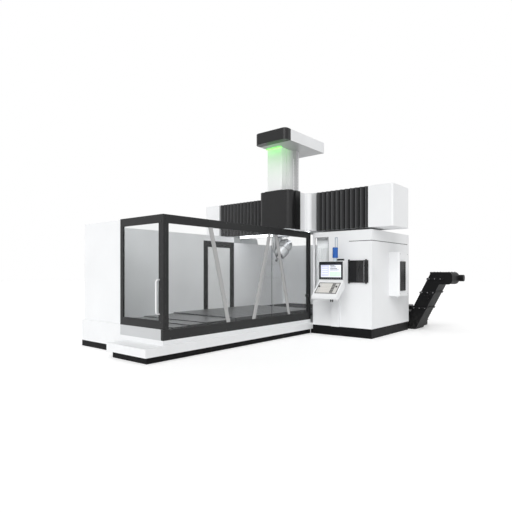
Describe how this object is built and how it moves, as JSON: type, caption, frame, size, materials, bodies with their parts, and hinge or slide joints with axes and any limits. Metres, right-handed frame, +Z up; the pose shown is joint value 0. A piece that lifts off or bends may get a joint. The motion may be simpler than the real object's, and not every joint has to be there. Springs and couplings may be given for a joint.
{
  "type": "cnc machining center",
  "caption": "Fixed-bridge machining center with moving T-slot table, glazed enclosure, crossbeam carriage with ram and tilting head, side cabinet with console, and chip conveyor.",
  "frame": {"origin": "on the floor, under the crossbeam's front plane, on the table's centre line", "axes": "+X to the machine's rear along the table travel, +Y along the crossbeam away from the operator's cabinet, +Z up"},
  "size_m": [8.616, 6.4525, 4.68],
  "materials": {
    "white_paint": "satin powder coat",
    "black_paint": "satin powder coat",
    "grey_paint": "satin powder coat",
    "plinth_black": "matt powder coat",
    "casting_grey": "painted casting",
    "steel": "brushed",
    "table_iron": "ground",
    "silver_head": "satin",
    "bellows": "coated fabric",
    "glass": "clear safety glass",
    "dark_panel": "tinted panel",
    "chain_black": "moulded",
    "screen": "display",
    "keypad_grey": "moulded keys",
    "knob_black": "moulded",
    "blue_lens": "lamp lens",
    "green_light": "lit diffuser",
    "lamp_white": "lit diffuser"
  },
  "bodies": {
    "frame": {"bed": "casting_grey", "guide_rails": "steel", "table_screw": "steel", "way_cover_fixed": "steel", "way_bellows_rear": "bellows", "base_plinth": "plinth_black", "base_platform": "white_paint", "front_wall": "white_paint", "door_sill_panel": "grey_paint", "left_wall": "grey_paint", "left_door_frame": "black_paint", "enclosure_frame": "black_paint", "rear_guard": "grey_paint", "left_column": "casting_grey", "right_column": "casting_grey", "crossbeam": "casting_grey", "beam_cover_left": "white_paint", "beam_cover_right": "white_paint", "bellows_left": "bellows", "bellows_right": "bellows", "work_light": "lamp_white", "cabinet_shell": "white_paint", "cabinet_window": "glass", "air_conditioner": "white_paint", "vent_grille": "black_paint", "console_mount": "white_paint", "conveyor_housing": "black_paint", "coolant_tank": "black_paint"},
    "table": {"table": "table_iron", "way_cover_table": "steel"},
    "inner_cover": {"way_cover_inner": "steel"},
    "outer_cover": {"way_cover_outer": "steel"},
    "carriage": {"carriage_body": "white_paint", "carriage_cover": "black_paint"},
    "ram": {"ram": "white_paint", "ram_cap_front": "black_paint", "ram_cap_rear": "white_paint", "cap_light": "green_light", "energy_chain": "chain_black"},
    "head": {"head_body": "silver_head"},
    "swivel": {"head_swivel": "silver_head"},
    "spindle": {"spindle": "steel", "cutter": "steel"},
    "front_door": {"front_door_frame": "black_paint", "front_door_glass": "glass", "front_door_handle": "white_paint"},
    "side_door_front": {"side_door_front_glass": "glass", "side_door_front_bars": "grey_paint"},
    "side_door_rear": {"side_door_rear_glass": "glass", "side_door_rear_bar": "grey_paint"},
    "service_door": {"left_door": "grey_paint"},
    "hatch": {"magazine_hatch": "dark_panel"},
    "magazine": {"tool_magazine": "steel"},
    "console": {"console_housing": "white_paint", "console_screen": "screen", "keyboard_tray": "white_paint", "keypad": "keypad_grey", "signal_lamp": "blue_lens"},
    "feed_knob": {"feed_knob": "knob_black"},
    "spindle_knob": {"spindle_knob": "knob_black"}
  },
  "joints": [
    {"name": "table_slide", "type": "slide", "parent": "frame", "child": "table", "axis": [1, 0, 0], "range_m": [-1.1, 0.9], "deforming": ["way_bellows_rear"]},
    {"name": "inner_cover_slide", "type": "slide", "parent": "frame", "child": "inner_cover", "axis": [1, 0, 0], "range_m": [-0.37, 0.31]},
    {"name": "outer_cover_slide", "type": "slide", "parent": "frame", "child": "outer_cover", "axis": [1, 0, 0], "range_m": [-0.74, 0.61]},
    {"name": "cross_slide", "type": "slide", "parent": "frame", "child": "carriage", "axis": [0, 1, 0], "range_m": [0, 1.85], "deforming": ["bellows_left", "bellows_right"]},
    {"name": "ram_slide", "type": "slide", "parent": "carriage", "child": "ram", "axis": [0, 0, 1], "range_m": [-0.95, 0]},
    {"name": "head_turn", "type": "hinge", "parent": "ram", "child": "head", "pos_m": [-0.665, -0.8795, 2.42], "axis": [0, 0, 1], "range_deg": [-180, 180]},
    {"name": "head_tilt", "type": "hinge", "parent": "head", "child": "swivel", "pos_m": [-0.595, -0.9395, 2.095], "axis": [0, 1, 0], "range_deg": [-45, 45]},
    {"name": "spindle_spin", "type": "hinge", "parent": "swivel", "child": "spindle", "pos_m": [-0.595, -0.9395, 2.095], "axis": [-0.7071, 0, -0.7071], "continuous": true},
    {"name": "front_door_slide", "type": "slide", "parent": "frame", "child": "front_door", "axis": [0, 1, 0], "range_m": [0, 1.2]},
    {"name": "side_door_front_slide", "type": "slide", "parent": "frame", "child": "side_door_front", "axis": [1, 0, 0], "range_m": [0, 1.24]},
    {"name": "side_door_rear_slide", "type": "slide", "parent": "frame", "child": "side_door_rear", "axis": [1, 0, 0], "range_m": [-1.2, 0]},
    {"name": "service_door_hinge", "type": "hinge", "parent": "frame", "child": "service_door", "pos_m": [-1.017, 1.314, 1.26], "axis": [0, 0, 1], "range_deg": [0, 100]},
    {"name": "hatch_hinge", "type": "hinge", "parent": "frame", "child": "hatch", "pos_m": [-0.03, -2.833, 1.5125], "axis": [0, 0, 1], "range_deg": [0, 110]},
    {"name": "magazine_spin", "type": "hinge", "parent": "frame", "child": "magazine", "pos_m": [0.2, -2.5855, 1.5125], "axis": [1, 0, 0], "continuous": true},
    {"name": "console_swivel", "type": "hinge", "parent": "frame", "child": "console", "pos_m": [-0.15, -2.014, 1.5], "axis": [0, 0, 1], "range_deg": [-28, 28]},
    {"name": "feed_knob_turn", "type": "hinge", "parent": "console", "child": "feed_knob", "pos_m": [-0.48838, -1.86, 1.16562], "axis": [-0.7071, 0, 0.7071], "range_deg": [-135, 135]},
    {"name": "spindle_knob_turn", "type": "hinge", "parent": "console", "child": "spindle_knob", "pos_m": [-0.48838, -2.301, 1.16562], "axis": [-0.7071, 0, 0.7071], "range_deg": [-135, 135]}
  ],
  "couplings": [
    {"joint": "inner_cover_slide", "follows": "table_slide", "ratio": 0.33333},
    {"joint": "outer_cover_slide", "follows": "table_slide", "ratio": 0.66667}
  ]
}
